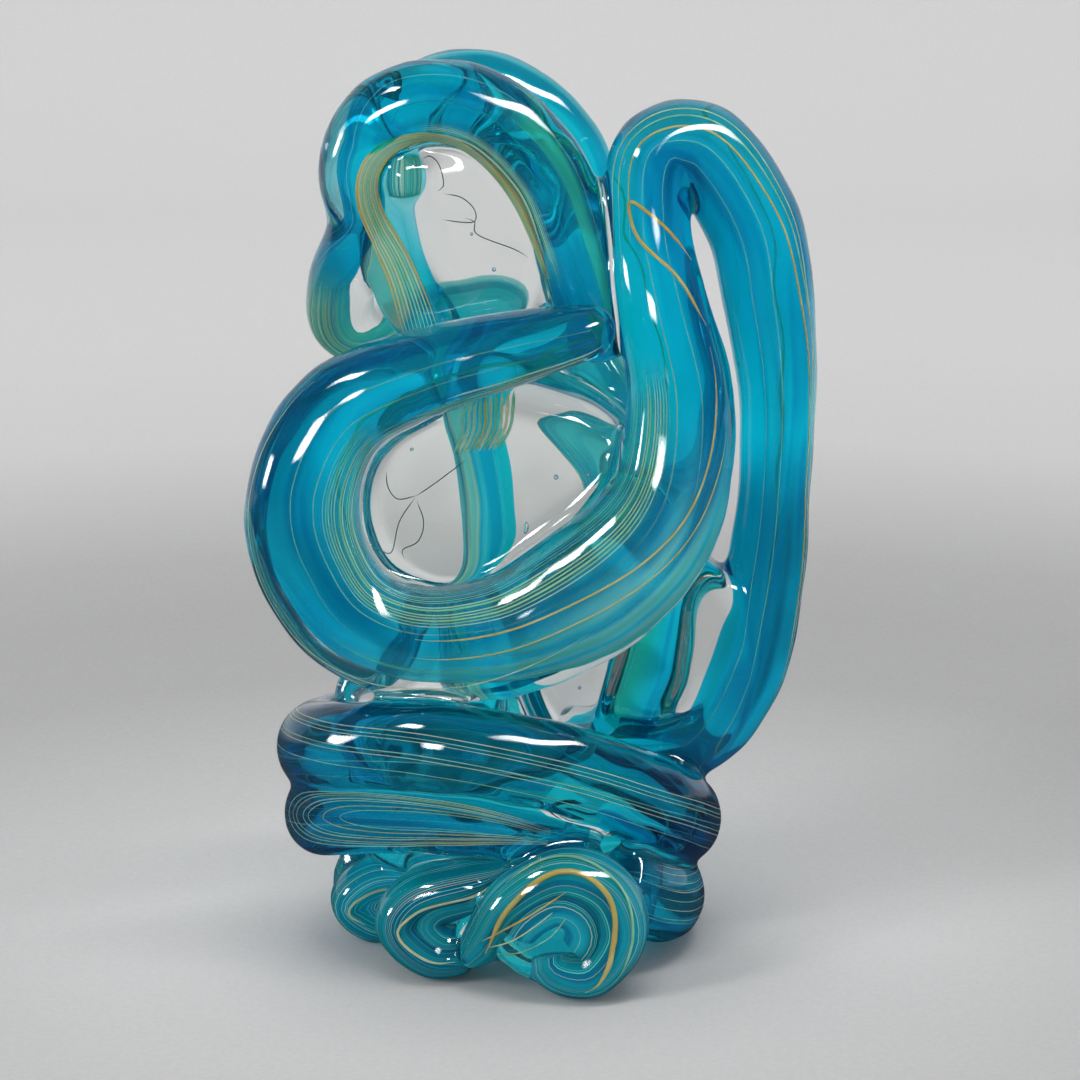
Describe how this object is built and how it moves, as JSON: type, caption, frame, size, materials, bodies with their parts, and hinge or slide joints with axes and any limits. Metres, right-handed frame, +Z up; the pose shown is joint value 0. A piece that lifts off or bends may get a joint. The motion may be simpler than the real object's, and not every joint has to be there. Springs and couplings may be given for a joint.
{
  "type": "glass sculpture",
  "caption": "Standing ornament of folded and looped glass rope, clear casing over a blue and teal core, with clear webs in the loops and a flat foot.",
  "frame": {"origin": "on the table, under the middle of the ornament's outline seen from above", "axes": "+Z up from the flat foot, -Y towards the viewer of the front loop, +X to that viewer's right"},
  "size_m": [0.128, 0.0955, 0.2049],
  "materials": {
    "clear_glass": "fire-polished clear glass",
    "blue_glass": "blue glass with fine amber and cream trails",
    "teal_glass": "teal glass with fine amber and cream trails"
  },
  "bodies": {
    "root": {"riser_casing": "clear_glass", "riser_core": "blue_glass", "crown_casing": "clear_glass", "crown_core": "blue_glass", "inner_fall_casing": "clear_glass", "inner_fall_core": "blue_glass", "front_loop_lower_casing": "clear_glass", "front_loop_lower_core": "blue_glass", "front_loop_left_casing": "clear_glass", "front_loop_left_core": "blue_glass", "front_loop_upper_casing": "clear_glass", "front_loop_upper_core": "blue_glass", "top_arch_casing": "clear_glass", "top_arch_core": "blue_glass", "left_lobe_casing": "clear_glass", "left_lobe_core": "blue_glass", "back_sweep_upper_casing": "clear_glass", "back_sweep_upper_core": "blue_glass", "back_sweep_lower_casing": "clear_glass", "back_sweep_lower_core": "blue_glass", "back_arch_casing": "clear_glass", "back_arch_core": "teal_glass", "back_column_casing": "clear_glass", "back_column_core": "teal_glass", "waist_ring_left_casing": "clear_glass", "waist_ring_left_core": "blue_glass", "waist_ring_front_casing": "clear_glass", "waist_ring_front_core": "blue_glass", "waist_ring_back_casing": "clear_glass", "waist_ring_back_core": "blue_glass", "waist_leaf_casing": "clear_glass", "waist_leaf_core": "blue_glass", "foot_ring_casing": "clear_glass", "foot_ring_core": "teal_glass", "foot_fold_left_casing": "clear_glass", "foot_fold_left_core": "teal_glass", "foot_fold_middle_casing": "clear_glass", "foot_fold_middle_core": "teal_glass", "foot_fold_front_casing": "clear_glass", "foot_fold_front_core": "teal_glass", "clear_web_front": "clear_glass", "clear_web_top": "clear_glass", "clear_web_right": "clear_glass", "clear_gather": "clear_glass"}
  },
  "joints": []
}
